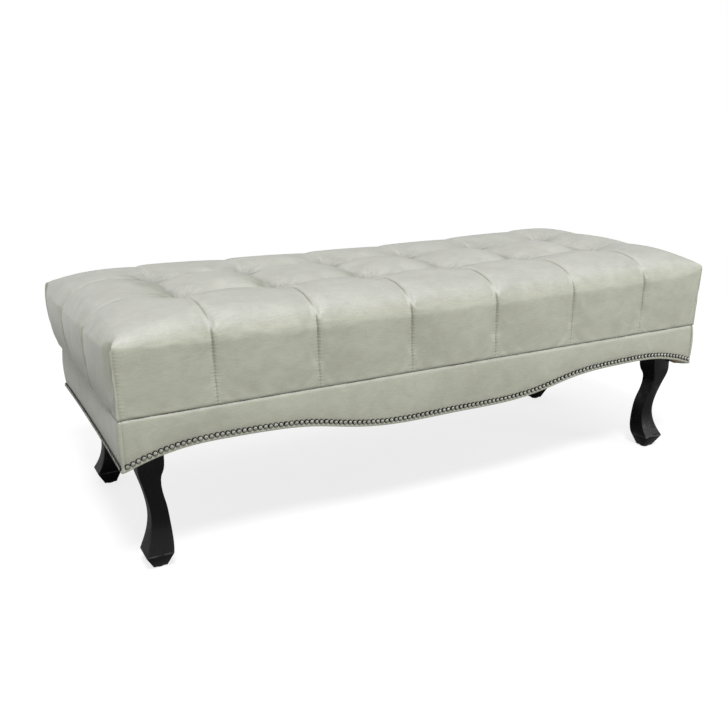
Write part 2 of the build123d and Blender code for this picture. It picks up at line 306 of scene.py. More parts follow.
def seam_distances(laid):
    """Distance from the nearest seam across the length, across the depth and at a corner."""
    x, y, z = laid.T
    across_length = np.min([np.abs(x - column) for column in tuft_columns], 0)
    across_depth = np.min([np.abs(y - row) for row in tuft_rows], 0)
    from_end, from_side = edge_distances(laid)
    below = np.maximum(top_z - z, 0)
    on_end = (from_end < from_side) & (below > 0.0001)
    on_side = (from_end >= from_side) & (below > 0.0001)
    across_length = np.where(on_end & (from_end < 0.001), 1.0, across_length)
    across_depth = np.where(on_side & (from_side < 0.001), 1.0, across_depth)
    return across_length, across_depth, np.maximum(from_end, from_side)


def tuft_distance(across_length, across_depth):
    """Distance from the nearest tuft."""
    return np.hypot(np.minimum(across_length, 1), np.minimum(across_depth, 1))


def eased(distance, half_gap, between):
    """Distance from a fold, levelled off halfway to the next one so that no ridge forms there."""
    levelled = distance - distance ** 4 / (4 * half_gap ** 3)
    return np.where(between & (distance < half_gap + 0.001), levelled, distance)


def eased_distances(laid):
    """The eased distances across the length and across the depth."""
    across_length, across_depth, _ = seam_distances(laid)
    half_pitch = (tuft_columns[1] - tuft_columns[0]) / 2
    return (eased(across_length, half_pitch, np.abs(laid[:, 0]) < tuft_columns[-1]),
            eased(across_depth, tuft_row, np.abs(laid[:, 1]) < tuft_row))


def corner_values(x, y, item):
    """One of the corner leans, blended over the seat."""
    total = 0
    for (sx, sy), values in corner_lean.items():
        total = total + (1 + sx * x / half_length) / 2 * (1 + sy * y / half_depth) / 2 * values[item]
    return total


def top_lift(laid):
    """How far the filling raises the top, less what its tufts, folds and seams draw down."""
    x, y, z = laid.T
    across_length, across_depth = eased_distances(laid)
    from_end, from_side = edge_distances(laid)
    filled = dome * (1 - fade(from_end, dome_reach)) * (1 - fade(from_side, dome_reach))
    past_rows = smooth_step(np.abs(y), tuft_row - 0.01, tuft_row + 0.05)
    past_columns = smooth_step(np.abs(x), tuft_columns[-1] - 0.01, tuft_columns[-1] + 0.06)
    seam_start = seam_start_depth * fade(np.abs(y) - tuft_row, 0.05)
    drawn = [tuft_depth * fade(tuft_distance(across_length, across_depth), tuft_reach),
             1.1 * fold_depth * (1 - past_rows) * fade(across_length, 1.5 * fold_reach),
             (seam_depth + seam_start) * past_rows * fade(across_length, seam_reach),
             fold_depth * (1 - past_columns) * fade(across_depth, fold_reach),
             end_depth * past_columns * fade(across_depth, end_reach)]
    drawn = sum(depth ** 3 for depth in drawn) ** (1 / 3)
    lift = filled - drawn * (1 - 0.5 * fade(np.minimum(from_end, from_side), 0.03))
    return lift * smooth_step(z, top_z - edge_radius, top_z)


def wall_swell(laid, up):
    """How far the panels of the walls swell between their seams."""
    across_length, across_depth = eased_distances(laid)
    from_end, from_side = edge_distances(laid)
    on_end = from_end < from_side
    across = np.where(on_end, across_depth, across_length)
    corner = np.maximum(from_end, from_side)
    swell = pillow * (1 - fade(across, pillow_reach)) * (1 - fade(corner, pillow_reach)) - seam_set_in
    swell = swell * smooth_step(up, 0, 0.45)
    return swell * np.where(on_end, end_pillow_share, 1) * fade(np.minimum(from_end, from_side), 0.02)


def crown_panels(piece):
    """Fill the box: a crowned seat, swelling walls, and corners that lean out."""
    laid = places(piece)
    x, y, z = laid.T
    from_end, from_side = edge_distances(laid)
    up = np.clip((z - seam_z) / (top_z - seam_z), 0, 1)
    points = laid + normals(piece) * wall_swell(laid, up)[:, None]
    # The ends are fullest halfway along, and the left one keeps its fullness to the rear.
    from_middle = np.where(x < 0, np.minimum(y, 0), y) / half_depth
    full = np.sqrt(np.clip(4 * up * (1 - up), 0, 1)) * (1 - from_middle ** 2) * fade(from_end, 0.01)
    points[:, 0] += np.sign(x) * end_swell * full
    points[:, 2] += top_lift(laid) + corner_values(x, y, 2) * up * (x / half_length) ** 2
    lean = np.sin(np.clip(up * 1.1, 0, 1) * math.pi / 2)
    for axis, half in ((0, half_length), (1, half_depth)):
        points[:, axis] *= 1 + corner_values(x, y, axis) * lean / half
    dimple = bell(from_side - dimple_inset, dimple_width) * (from_end < from_side) * smooth_step(up, 0.1, 0.9)
    points[:, 0] -= np.sign(x) * dimple_depth * dimple * fade(from_end, 0.01)
    for (sx, sy), values in corner_lean.items():
        tip = Vector((sx * (half_length + values[0]), sy * (half_depth + values[1]), top_z + values[2]))
        to_tip = np.array(tip) - points
        points += values[3] * bell(np.linalg.norm(to_tip, axis=1), 0.030)[:, None] * to_tip
    put_places(piece, points)


def settle_cloth(piece):
    """Let the cover settle as cloth over its filling, held along its seams, base and tufts."""
    before = places(piece)
    laid = read_vectors(piece, "laid")
    seam = np.min(seam_distances(laid), 0)
    base = laid[:, 2] < seam_z + 0.0003
    on_wall = laid[:, 2] < top_z - 0.0001
    hold = np.where(base | (seam < 0.001), seam_hold, np.where(on_wall, wall_hold, top_hold))
    held = piece.vertex_groups.new(name="held")
    for weight in (top_hold, wall_hold, seam_hold):
        held.add([int(k) for k in np.flatnonzero(np.isclose(hold, weight))], weight, "REPLACE")
    cloth = piece.modifiers.new("cover", "CLOTH")
    settings = cloth.settings
    for name, value in {"quality": 6, "mass": 0.25, "tension_stiffness": 60, "compression_stiffness": 60,
                        "shear_stiffness": 20, "bending_stiffness": 0.6, "tension_damping": 8,
                        "compression_damping": 8, "air_damping": 3, "pin_stiffness": 0.5,
                        "vertex_group_mass": "held", "shrink_min": -panel_growth,
                        "use_pressure": True, "uniform_pressure_force": 0.4}.items():
        setattr(settings, name, value)
    settings.effector_weights.gravity = 0
    cloth.collision_settings.use_collision = False
    cloth.collision_settings.use_self_collision = False
    cloth.point_cache.frame_start = 1
    cloth.point_cache.frame_end = sim_frames
    scene = bpy.context.scene
    scene.frame_end = sim_frames
    for moment in range(1, sim_frames + 1):
        scene.frame_set(moment)
    apply_modifiers(piece)
    scene.frame_set(1)
    moved = places(piece) - before
    far = np.linalg.norm(moved, axis=1, keepdims=True)
    put_places(piece, before + moved * np.minimum(1, most_movement / np.maximum(far, 1e-9)))
    piece.vertex_groups.clear()


def refine(piece):
    """Round the mesh off by one level of subdivision."""
    subdivide = piece.modifiers.new("rounding", "SUBSURF")
    subdivide.levels = subdivide.render_levels = 1
    apply_modifiers(piece)


def lap_height(laid):
    """How far each panel stands over its neighbour on the left, on the walls and beside the tufts."""
    x, y, z = laid.T
    right_of = np.min([np.where(x >= column, x - column, 1.0) for column in tuft_columns], 0)
    beyond = np.abs(y) - tuft_row
    width = np.where(beyond > 0, lap_width, 2 * lap_width)
    lapped = lap * (1 - np.exp(-right_of / width)) * np.maximum(1 - right_of / 0.2, 0)
    shown = smooth_step(np.abs(beyond), 0, 0.09) * smooth_step(z, seam_z + 0.01, top_z - 0.01)
    return lapped * (shown * (1 - 0.55 * smooth_step(y, -tuft_row, tuft_row)))


def sew_grooves(piece):
    """Sink the seams and the tufts, lap the panels, and turn the cover in a little at its base.

    What the material needs is kept with the mesh. In "sewn": how near a tuft seam is, how dark the
    painted shade is in its seams, folds, tuft pits and the crease at the base, together with the
    seams' dark thread lines, and how near the corner's stitching is. In "from_tuft": the way from
    the nearest tuft.
    """
    laid = read_vectors(piece, "laid")
    x, y, z = laid.T
    across_length, across_depth, corner = seam_distances(laid)
    tuft = tuft_distance(across_length, across_depth)
    from_end, from_side = edge_distances(laid)
    on_end = from_end < from_side
    on_long_wall = (from_side < 0.001) & (z < top_z - 0.006)
    stitch = np.where(on_long_wall, np.abs(from_end - corner_stitch), 1.0)
    sewn = smooth_step(np.abs(y), tuft_row - 0.01, tuft_row + 0.03)
    wall = smooth_step(top_z - z, 0.001, 0.012)

    on_end_wall = on_end * smooth_step(top_z - z, 0, 0.02)
    down = np.max([0.3 * bell(corner, groove_width) + 0.5 * bell(stitch, 0.0016),
                   (0.05 + 0.50 * wall) * sewn * bell(across_length, 0.75 * groove_width),
                   0.5 * (1 - sewn) * bell(across_length, 1.8 * groove_width),
                   (0.5 + on_end_wall) * bell(across_depth, 1.8 * groove_width)], 0)
    down = groove * down + pit * bell(tuft, pit_width) - lap_height(laid)
    turn = np.clip(1 - (z - seam_z) / base_turn_height, 0, 1) ** 2
    down = down * (1 - turn) + base_turn * turn * (1 - 0.8 * bell(corner, 0.012))
    put_places(piece, places(piece) - normals(piece) * down[:, None])

    # Painted shade: in the crease at the base, round the tuft pits, along the folds and seams and beside each
    # corner seam; the seams' thin dark thread lines are part of it too.
    line = np.max([0.28 * wall * sewn * bell(across_length, 0.0015),
                   0.3 * bell(stitch, 0.0012),
                   0.2 * (1 - sewn) * bell(across_length, 0.003),
                   0.3 * bell(across_depth, 0.003) * smooth_step(from_end, 0.02, 0.12),
                   0.5 * bell(tuft, 0.004),
                   0.8 * bell(z - seam_z, 0.0022),
                   0.26 * on_end * wall * bell(from_side - 0.010, 0.009)], 0)
    keep_values(piece, "sewn", np.stack([
        sewn * (0.25 + 0.75 * wall) * bell(across_length, 0.0065),
        line,
        0.8 * on_long_wall * bell(from_end - corner_stitch - 0.003, 0.005)], 1), "FLOAT_VECTOR")
    away = [laid[:, k] - np.array(lines)[np.argmin(np.abs(laid[:, k, None] - lines), 1)]
            for k, lines in enumerate((tuft_columns, tuft_rows))]
    near = smooth_step(tuft, 0.085, 0.010) * (z > top_z - 0.001)
    keep_values(piece, "from_tuft", np.stack([*away, near], 1), "FLOAT_VECTOR")


def unrolled(distance, half, height):
    """Length along the cover from its middle, over the rolled edge and down the wall."""
    start = half - edge_radius
    angle = np.arctan2(np.maximum(distance - start, 0), np.maximum(height - top_z + edge_radius, 1e-6))
    wall = start + edge_radius * math.pi / 2 + np.maximum(top_z - edge_radius - height, 0)
    roll = start + edge_radius * np.minimum(angle, math.pi / 2)
    return np.where(height < top_z - edge_radius, wall, np.where(distance < start, distance, roll))


def lay_cloth_map(piece):
    """UV map in metres along the cloth, so that the nap runs over the edges without a jump."""
    mesh = piece.data
    laid = read_vectors(piece, "laid")
    corners = np.empty(len(mesh.loops), int)
    mesh.loops.foreach_get("vertex_index", corners)
    sizes = np.empty(len(mesh.polygons), int)
    mesh.polygons.foreach_get("loop_total", sizes)
    owner = np.repeat(np.arange(len(sizes)), sizes)
    middle_of = np.stack([np.bincount(owner, laid[corners, k]) / sizes for k in range(3)], 1)
    x, y, z = laid[corners].T
    ends = (half_length - np.abs(middle_of[:, 0])) < (half_depth - np.abs(middle_of[:, 1]))
    ends = ends[owner]
    u = np.where(ends, np.sign(middle_of[owner, 0]) * unrolled(np.abs(x), half_length, z), x)
    v = np.where(ends, y, np.sign(middle_of[owner, 1]) * unrolled(np.abs(y), half_depth, z))
    layer = mesh.uv_layers.new(name="cloth")
    layer.uv.foreach_set("vector", np.stack([u, v], 1).astype(np.float32).ravel())


def turn_under(piece):
    """Run the cover in below the cushion and down to the deck, and close it there."""
    begin(piece)
    for inset, height in ((0.0048, seam_z - 0.0006), (base_inset, seam_z - 0.0012),
                          (base_inset, deck_z)):
        pick(piece, "edges", lambda edge, at: edge.is_boundary)
        bpy.ops.mesh.extrude_region(mirror=False)
        cage = bmesh.from_edit_mesh(piece.data)
        for vert in cage.verts:
            if vert.select:
                for axis, half in ((0, half_length), (1, half_depth)):
                    vert.co[axis] = max(inset - half, min(half - inset, vert.co[axis]))
                vert.co.z = height
        bmesh.update_edit_mesh(piece.data)
    pick(piece, "edges", lambda edge, at: edge.is_boundary)
    bpy.ops.mesh.edge_face_add()
    weld(0.00001)


def seat_cushion():
    """The whole seat: shaped, settled as cloth, sewn and closed below."""
    piece = cushion_blank()
    crown_panels(piece)
    settle_cloth(piece)
    refine(piece)
    sew_grooves(piece)
    lay_cloth_map(piece)
    turn_under(piece)
    shade(piece, 60)
    return piece


# ---------------------------------------------------------------- apron bands
# Rows of a band's section: inset from the apron's face, share of the way up to the seam, and
# height above that. Outer face first, then the face against the rail, both from the top down.
face_rows = [(share, 0.020 - 0.028 * share) for share in (0.86, 0.72, 0.58, 0.44, 0.30, 0.15)]
face_rows += [(0, height) for height in (0.020, 0.0165, 0.014, 0.0115, 0.009, 0.0065)]
outer_rows = [(0.0076, 1, -0.0006), (0.0056, 1, -0.0001), (0.0036, 1, -0.0005), (0.0018, 1, -0.0016),
              (0.0006, 1, -0.0034), (0.00005, 1, -0.0058), (-0.0001, 1, -0.008)]
outer_rows += [(0, *row) for row in face_rows]
outer_rows += [(0.0001, 0, 0.0034), (0.0005, 0, 0.0016), (0.0014, 0, 0.0005), (0.0028, 0, 0.0001)]
outer_rows += [(inset, 0, 0) for inset in (0.006, 0.012, 0.020, 0.0297)]
inner_rows = [(rail_face, 1, height)
              for height in (-0.0012, -0.0018, -0.0026, -0.0036, -0.0048, -0.0066, -0.008)]
inner_rows += [(rail_face, *row) for row in face_rows]
inner_rows += [(rail_face, 0, height) for height in (0.005, 0.004, 0.003, 0.0024)]
inner_rows += [(inset, 0, 0.0018) for inset in (0.0082, 0.012, 0.020, 0.0297)]


def side_plane(side):
    """The axis that a side runs along, the direction it faces, and how far out its face is."""
    axis = 0 if side in LONG_SIDES else 1
    return axis, Vector((*OUTWARD[side], 0)), (half_depth, half_length)[axis]


def lower_edge(side):
    """Height of an apron's scalloped lower edge at any place along its side."""
    axis, out, face = side_plane(side)
    found = {round(v.co[axis], 5): v.co.z for v in nodes["apron_cover_" + side].data.vertices
             if v.co.dot(out) > face - 0.0001 and v.co.z < seam_z - 0.001}
    at = sorted(found)
    heights = [found[place] for place in at]
    nudges = np.linspace(-0.012, 0.012, 7)
    return lambda place: np.mean([np.interp(place + nudge, at, heights) for nudge in nudges], 0)


def nail_centres(side):
    """Where the nails of one side sit: along the side, and in height."""
    axis, out, face = side_plane(side)
    found = {(round(v.co[axis], 4), round(v.co.z, 4)) for v in nodes["nail_trim_" + side].data.vertices
             if v.co.dot(out) > face + 0.0025}
    return sorted(found)


def ripple(x, z, seed):
    """Slow unevenness of hand-stretched cloth, between -1 and 1."""
    return (np.sin(x * 41 + z * 23 + seed) + np.sin(x * 17 - z * 61 + 2.3 * seed)
            + np.sin(x * 97 + 1.7 * seed) * 0.6) / 2.6


def apron_path(side):
    """Stations along a band: the place along the side, the corner's turn, and the run so far."""
    if side in LONG_SIDES:
        end_place = half_length - fold_inset
        near = np.array([0, 0.0005, 0.0013, 0.0028, 0.0055, 0.010, 0.016])
        inner = np.linspace(-end_place + 0.0215, end_place - 0.0215, 250)
        along = np.concatenate([near - end_place, inner, end_place - near[::-1]])
        return along, np.zeros(len(along)), along
    straight = half_depth - corner_radius
    arc = corner_radius * math.pi / 2
    run = np.concatenate([np.linspace(-straight - arc - 0.003, -straight - arc, 4),
                          np.linspace(-straight - arc, -straight, 6)[1:],
                          np.linspace(-straight, straight, 108)[1:],
                          np.linspace(straight, straight + arc, 6)[1:],
                          np.linspace(straight + arc, straight + arc + 0.003, 4)[1:]])
    turn = np.clip((np.abs(run) - straight) / arc, 0, 1) * np.sign(run) * math.pi / 2
    return np.clip(run, -straight, straight), turn, run


def band_point(side, place, turn, run, inset):
    """Plan position of a point of the band: along its side, or round the corner."""
    if side in LONG_SIDES:
        limit = half_length - max(inset, fold_inset)
        return max(-limit, min(limit, place)), half_depth - inset
    hub = max(corner_radius, inset)
    beyond = max(0, abs(run) - (half_depth - corner_radius) - corner_radius * math.pi / 2)
    if abs(turn) < 1e-9:
        limit = half_depth - hub
        return max(-limit, min(limit, place)), half_length - inset
    radius = max(corner_radius - inset, 0)
    sign = math.copysign(1, turn)
    along = sign * (half_depth - hub + radius * math.sin(abs(turn)))
    away = half_length - hub + radius * math.cos(turn)
    return along, away - (beyond if hub <= corner_radius else 0)


def band_blank(name, stations):
    """A box cut into one cell for each station along the band and each row of its section."""
    bpy.ops.mesh.primitive_cube_add(size=1, location=(0.5, 0.5, 0.5))
    piece = finished(name)
    for axis, cells in ((0, stations - 1), (1, len(outer_rows) - 1)):
        begin(piece)
        pick(piece, "edges", lambda edge, at: abs(edge.verts[0].co[axis] - edge.verts[1].co[axis]) > 0.5)
        bpy.ops.mesh.subdivide(number_cuts=cells - 1)
        end()
    return piece


def face_swell(side, place, z, low, to_nail):
    """How far the band's face stands out: its padding, slow waves, the nails' furrow and its folds."""
    long_side = side in LONG_SIDES
    up = (z - low) / (seam_z - low)
    padding = long_padding if long_side else end_padding
    swell = padding * math.sin(math.pi * min(1, max(0, up * 1.25 - 0.2)))
    swell += 0.0005 * float(ripple(place, z, SIDES.index(side) * 1.9)) * min(1, up * 2)
    swell -= 0.0007 * bell(z - low - nail_rise, 0.005)
    swell -= 0.0005 * bell(to_nail, 0.0045)
    swell += 0.0006 * bell(z - low - 0.003, 0.0025)
    if long_side:
        from_fold = half_length - fold_inset - abs(place)
        swell += 0.0009 * fade(from_fold, 0.012) - 0.0024 * fade(from_fold, 0.0006)
    return swell


def apron(side):
    """Padded cloth band round a rail: rolled top, pillowed face, nail row, lower roll and wrap."""
    long_side = side in LONG_SIDES
    along, turns, run = apron_path(side)
    piece = band_blank("apron_" + side, len(along))
    edge_height, long_edge = lower_edge(side), lower_edge("front")
    nails = np.array(nail_centres(side))
    out = OUTWARD[side]
    spots, cloth = [], []
    lengths = [math.hypot(b[0] - a[0], 0.08 * (b[1] - a[1]) + b[2] - a[2])
               for a, b in zip(outer_rows, outer_rows[1:])]
    down_cloth = np.concatenate([[0], np.cumsum(lengths)])
    for u, v, w in places(piece):
        k, j = round(u * (len(along) - 1)), round(v * (len(outer_rows) - 1))
        inset, share, above = (outer_rows if w > 0.5 else inner_rows)[j]
        place, turn, on_run = along[k], turns[k], run[k]
        low = float(edge_height(place))
        beyond = 0 if long_side else max(0.0, abs(on_run) - half_depth + corner_radius)
        if beyond > 0:
            low = max(float(edge_height(half_depth)),
                      float(long_edge(half_length - min(beyond, fold_inset))))
        z = low + share * (seam_z - low) + above
        if w > 0.5 and 2 < j < len(outer_rows) - 6:
            to_nail = float(np.min(np.hypot(np.abs(nails[:, 0] - place), nails[:, 1] - z)))
            inset -= face_swell(side, place, z, low, to_nail if turn == 0 else 1.0)
        across, away = band_point(side, place, turn, on_run, inset)
        spots.append((across if long_side else out[0] * away, out[1] * away if long_side else across, z))
        cloth.append((on_run, down_cloth[j]))
    put_places(piece, spots)
    layer = piece.data.uv_layers.new(name="cloth")
    for loop in piece.data.loops:
        layer.uv[loop.index].vector = cloth[loop.vertex_index]
    begin(piece)
    weld(0.00002)
    shade(piece, 50)
    return piece


# ---------------------------------------------------------------- nail trim
def one_nail():
    """A domed nail head with a short skirt, standing on the XY plane."""
    bpy.ops.mesh.primitive_uv_sphere_add(segments=10, ring_count=10, radius=nail_radius)
    nail = bpy.context.object
    begin(nail)
    bpy.ops.mesh.select_all(action="SELECT")
    bpy.ops.mesh.bisect(plane_co=(0, 0, 0.0001), plane_no=(0, 0, 1), clear_inner=True)
    bpy.ops.mesh.select_all(action="SELECT")
    bpy.ops.transform.resize(value=(1, 1, nail_dome / nail_radius))
    pick(nail, "edges", lambda edge, at: edge.is_boundary)
    bpy.ops.mesh.extrude_region_move(TRANSFORM_OT_translate={"value": (0, 0, -0.0014)})
    bpy.ops.mesh.edge_face_add()
    bpy.ops.mesh.select_all(action="SELECT")
    bpy.ops.mesh.normals_make_consistent(inside=False)
    end()
    keep_values(nail, "dome", np.clip(places(nail)[:, 2] / nail_dome, 0, 1))
    shade(nail, 50)
    return nail


def nail_row(side, nail):
    """Copies of one nail along an apron, each a little turned and out of line, as nails driven by hand are.
    """
    axis, out, face = side_plane(side)
    facing = out.to_track_quat("Z", "Y").to_matrix().to_4x4()
    copies = []
    for across, height in nail_centres(side):
        copy = add_object("nail", nail.data.copy())
        across += random.uniform(-nail_stray, nail_stray)
        height += random.uniform(-nail_stray, nail_stray)
        spot = Vector((across, out.y * face, height) if axis == 0 else (out.x * face, across, height))
        spot -= out * 0.0004
        lean = Matrix.Rotation(random.uniform(-nail_lean, nail_lean), 4, "X")
        lean = lean @ Matrix.Rotation(random.uniform(-nail_lean, nail_lean), 4, "Y")
        copy.matrix_world = (Matrix.Translation(spot) @ facing @ lean
                             @ Matrix.Rotation(random.uniform(0, math.tau), 4, "Z"))
        copies.append(copy)
    choose(copies[0])
    for copy in copies:
        copy.select_set(True)
    bpy.ops.object.join()
    return finished("nails_" + side)


# ---------------------------------------------------------------- legs and dust cover
def merged_copy(node, name):
    """A welded copy of a CAD node's mesh as a new piece."""
    piece = add_object(name, nodes[node].data.copy())
    piece.data.materials.clear()
    begin(piece)
    weld(0.00002)
    return piece


def turned_leg(corner):
    """Cabriole leg with its sharp edges eased."""
    leg = merged_copy("leg_" + corner, "cabriole_" + corner)
    easing = leg.modifiers.new("eased edges", "BEVEL")
    easing.width = 0.0011
    easing.segments = 2
    easing.limit_method = "ANGLE"
    easing.angle_limit = math.radians(28)
    easing.use_clamp_overlap = False
    apply_modifiers(leg)
    shade(leg, 30)
    return leg


def underside_cloth():
    """Dust cover stretched under the frame, notched at the legs, its margin turned down."""
    low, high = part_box("dust_cover")
    leg_low, leg_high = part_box("leg_front_right")
    notch_x, notch_y = leg_low.x - 0.006, -leg_high.y - 0.006
    bpy.ops.mesh.primitive_plane_add(size=1, location=(0, 0, high.z - cloth_thickness))
    piece = finished("underside_cloth")
    begin(piece)
    bpy.ops.mesh.select_all(action="SELECT")
    bpy.ops.transform.resize(value=(high.x - low.x, high.y - low.y, 1))
    cut([((x, 0, 0), (1, 0, 0)) for x in np.linspace(-notch_x, notch_x, 49)])
    cut([((0, y, 0), (0, 1, 0)) for y in np.linspace(-notch_y, notch_y, 13)])
    cut([((sign * (high.x + notch_x) / 2, 0, 0), (1, 0, 0)) for sign in (-1, 1)])
    pick(piece, "faces", lambda face, at: abs(at.x) > notch_x and abs(at.y) > notch_y)
    bpy.ops.mesh.delete(type="FACE")
    pick(piece, "edges", lambda edge, at: edge.is_boundary and (abs(at.x) > high.x - 0.001
                                                                or abs(at.y) > high.y - 0.001))
    bpy.ops.mesh.extrude_region_move(TRANSFORM_OT_translate={"value": (0, 0, low.z - high.z + 0.001)})
    end()
    points = places(piece)
    x, y, z = points.T
    slack = np.clip(1 - (x / high.x) ** 2, 0, 1) * np.clip(1 - (y / high.y) ** 2, 0, 1)
    sag = 0.005 * slack ** 0.7 + 0.0006 * ripple(x, y, 1) * slack
    points[:, 2] -= np.where(z > high.z - 0.001, sag, 0)
    put_places(piece, points)
    wall = piece.modifiers.new("cloth", "SOLIDIFY")
    wall.thickness = cloth_thickness
    wall.offset = 0
    apply_modifiers(piece)
    shade(piece, 50)
    return piece, (high.x - low.x + turned_margin, high.y - low.y + turned_margin)


# ---------------------------------------------------------------- shader helpers
def put(tree, kind, links=None, **settings):
    """Add a node. Settings are its properties, links its inputs: values or other sockets."""
    node = tree.nodes.new(kind)
    for name, value in settings.items():
        setattr(node, name, value)
    for name, value in (links or {}).items():
        if isinstance(value, bpy.types.NodeSocket):
            tree.links.new(value, node.inputs[name])
        else:
            node.inputs[name].default_value = value
    return node


def calculate(tree, operation, first, second=0.0, third=0.0):
    """Arithmetic on up to three values or sockets."""
    return put(tree, "ShaderNodeMath", {0: first, 1: second, 2: third}, operation=operation).outputs[0]


def spread(tree, value, low, high, to_low=0.0, to_high=1.0, smooth=True):
    """Map a value's range, clamped at both ends."""
    node = put(tree, "ShaderNodeMapRange",
               {"Value": value, "From Min": low, "From Max": high, "To Min": to_low, "To Max": to_high},
               interpolation_type="SMOOTHSTEP" if smooth else "LINEAR")
    return node.outputs[0]


def times(tree, first, second):
    """The product of two values or sockets."""
    return calculate(tree, "MULTIPLY", first, second)


def object_place(tree):
    """Where a point lies on its object."""
    return put(tree, "ShaderNodeTexCoord").outputs["Object"]


def axes_of(tree, vector):
    """The X, Y and Z of a vector."""
    return put(tree, "ShaderNodeSeparateXYZ", {0: vector}).outputs


def facing_axes(tree):
    """The X, Y and Z of the direction that the surface faces."""
    return axes_of(tree, put(tree, "ShaderNodeNewGeometry").outputs["Normal"])


def vector_of(tree, x, y=0.0, z=0.0):
    """A vector of three values or sockets."""
    return put(tree, "ShaderNodeCombineXYZ", {"X": x, "Y": y, "Z": z}).outputs[0]


def length_of(tree, vector):
    """The length of a vector."""
    return put(tree, "ShaderNodeVectorMath", {0: vector}, operation="LENGTH").outputs["Value"]


def kept_value(tree, name, output="Vector"):
    """A value that was kept with the mesh."""
    return put(tree, "ShaderNodeAttribute", attribute_name=name).outputs[output]


def blend_colour(tree, share, first, second, kind="MIX"):
    """Two colours mixed, each given by value or by socket."""
    return put(tree, "ShaderNodeMix", {0: share, 6: first, 7: second},
               data_type="RGBA", blend_type=kind).outputs[2]


def stretch(tree, vector, scale):
    """Coordinates with each axis scaled."""
    return put(tree, "ShaderNodeMapping", {"Vector": vector, "Scale": scale}).outputs[0]


def noise(tree, vector, scale, detail=2.0, roughness=0.5, distortion=0.0):
    """Cloudy values round one half."""
    return put(tree, "ShaderNodeTexNoise", {"Vector": vector, "Scale": scale, "Detail": detail,
                                            "Roughness": roughness, "Distortion": distortion}).outputs[0]


def bump(tree, height, distance, strength=1.0, normal=None):
    """A normal tilted by a height, over another normal if one is given."""
    links = {"Height": height, "Distance": distance, "Strength": strength}
    if normal is not None:
        links["Normal"] = normal
    return put(tree, "ShaderNodeBump", links).outputs[0]


def finish_material(name, roughness=0.5, **constants):
    """A new material and its node tree. Constants are set on the shader's own sockets."""
    material = bpy.data.materials.new(name)
    material.use_nodes = True
    shader = material.node_tree.nodes["Principled BSDF"]
    shader.inputs["Roughness"].default_value = roughness
    for socket_name, value in constants.items():
        shader.inputs[socket_name.replace("_", " ")].default_value = value
    return material, material.node_tree


def connect(material, colour, normal, roughness=None):
    """Wire colour, normal and roughness into a material's shader, and give the material back."""
    tree = material.node_tree
    for name, value in (("Base Color", colour), ("Normal", normal), ("Roughness", roughness)):
        if value is not None:
            tree.links.new(value, tree.nodes["Principled BSDF"].inputs[name])
    return material


# ---------------------------------------------------------------- effects shared by materials
def new_group(name, sockets):
    """An empty node group and its inputs, which are given as names with their kinds."""
    group = bpy.data.node_groups.new(name, "ShaderNodeTree")
    for socket_name, kind in sockets.items():
        group.interface.new_socket(socket_name, in_out="INPUT", socket_type="NodeSocket" + kind)
    return group, group.nodes.new("NodeGroupInput").outputs


def close_group(group, **results):
    """Give a node group its outputs, each a value, and give the group back."""
    for name in results:
        group.interface.new_socket(name, in_out="OUTPUT", socket_type="NodeSocketFloat")
    out = group.nodes.new("NodeGroupOutput").inputs
    for name, value in results.items():
        group.links.new(value, out[name])
    return group


def use_group(tree, group, links):
    """Place a group in a material and give its outputs."""
    return put(tree, "ShaderNodeGroup", links, node_tree=group).outputs


def nap_group():
    """Brushed microfibre: a mottled tone and a fine height, both from cloth coordinates."""
    group, given = new_group("napped cloth", {"Cloth": "Vector"})
    cloth = given["Cloth"]
    blotch = noise(group, stretch(group, cloth, (22, 34, 22)), 1.0, 5, 0.65, 0.8)
    patch = noise(group, cloth, 6, 3, 0.55, 0.5)
    streak = noise(group, stretch(group, cloth, (45, 460, 45)), 1.0, 3, 0.6)
    fleck = noise(group, cloth, 420, 2, 0.6)
    tone = calculate(group, "MULTIPLY_ADD", blotch, 0.30, times(group, patch, 0.24))
    tone = calculate(group, "MULTIPLY_ADD", streak, 0.22, tone)
    tone = calculate(group, "MULTIPLY_ADD", fleck, 0.24, tone)
    height = calculate(group, "MULTIPLY_ADD", fleck, 0.6, times(group, streak, 0.4))
    return close_group(group, Tone=tone, Height=height)


def pucker_group():
    """Small creases across a seam, one at each stitch, fading out beside it."""
    group, given = new_group("stitch puckers", {"Along": "Float", "Closeness": "Float", "Pitch": "Float"})
    uneven = noise(group, vector_of(group, given["Along"]), 90, 1, 0.5)
    count = calculate(group, "MULTIPLY_ADD", uneven, 1.6,
                      calculate(group, "DIVIDE", given["Along"], given["Pitch"]))
    wave = calculate(group, "SINE", times(group, count, math.tau))
    wave = calculate(group, "MULTIPLY_ADD", wave, 0.5, 0.5)
    return close_group(group, Height=times(group, wave, given["Closeness"]))


def crease_group():
    """Creases that spread from a tuft and die out in the panel."""
    group, given = new_group("tuft creases", {"From Tuft": "Vector"})
    axes = axes_of(group, given["From Tuft"])
    angle = calculate(group, "ARCTAN2", axes["Y"], axes["X"])
    distance = length_of(group, vector_of(group, axes["X"], axes["Y"]))
    fan = vector_of(group, times(group, calculate(group, "SINE", angle), 2.6),
                    times(group, calculate(group, "COSINE", angle), 2.6), times(group, distance, 9))
    ray = spread(group, noise(group, fan, 2.2, 2, 0.5), 0.35, 0.65)
    near = times(group, axes["Z"], spread(group, distance, 0.0, 0.010))
    return close_group(group, Height=times(group, ray, near))


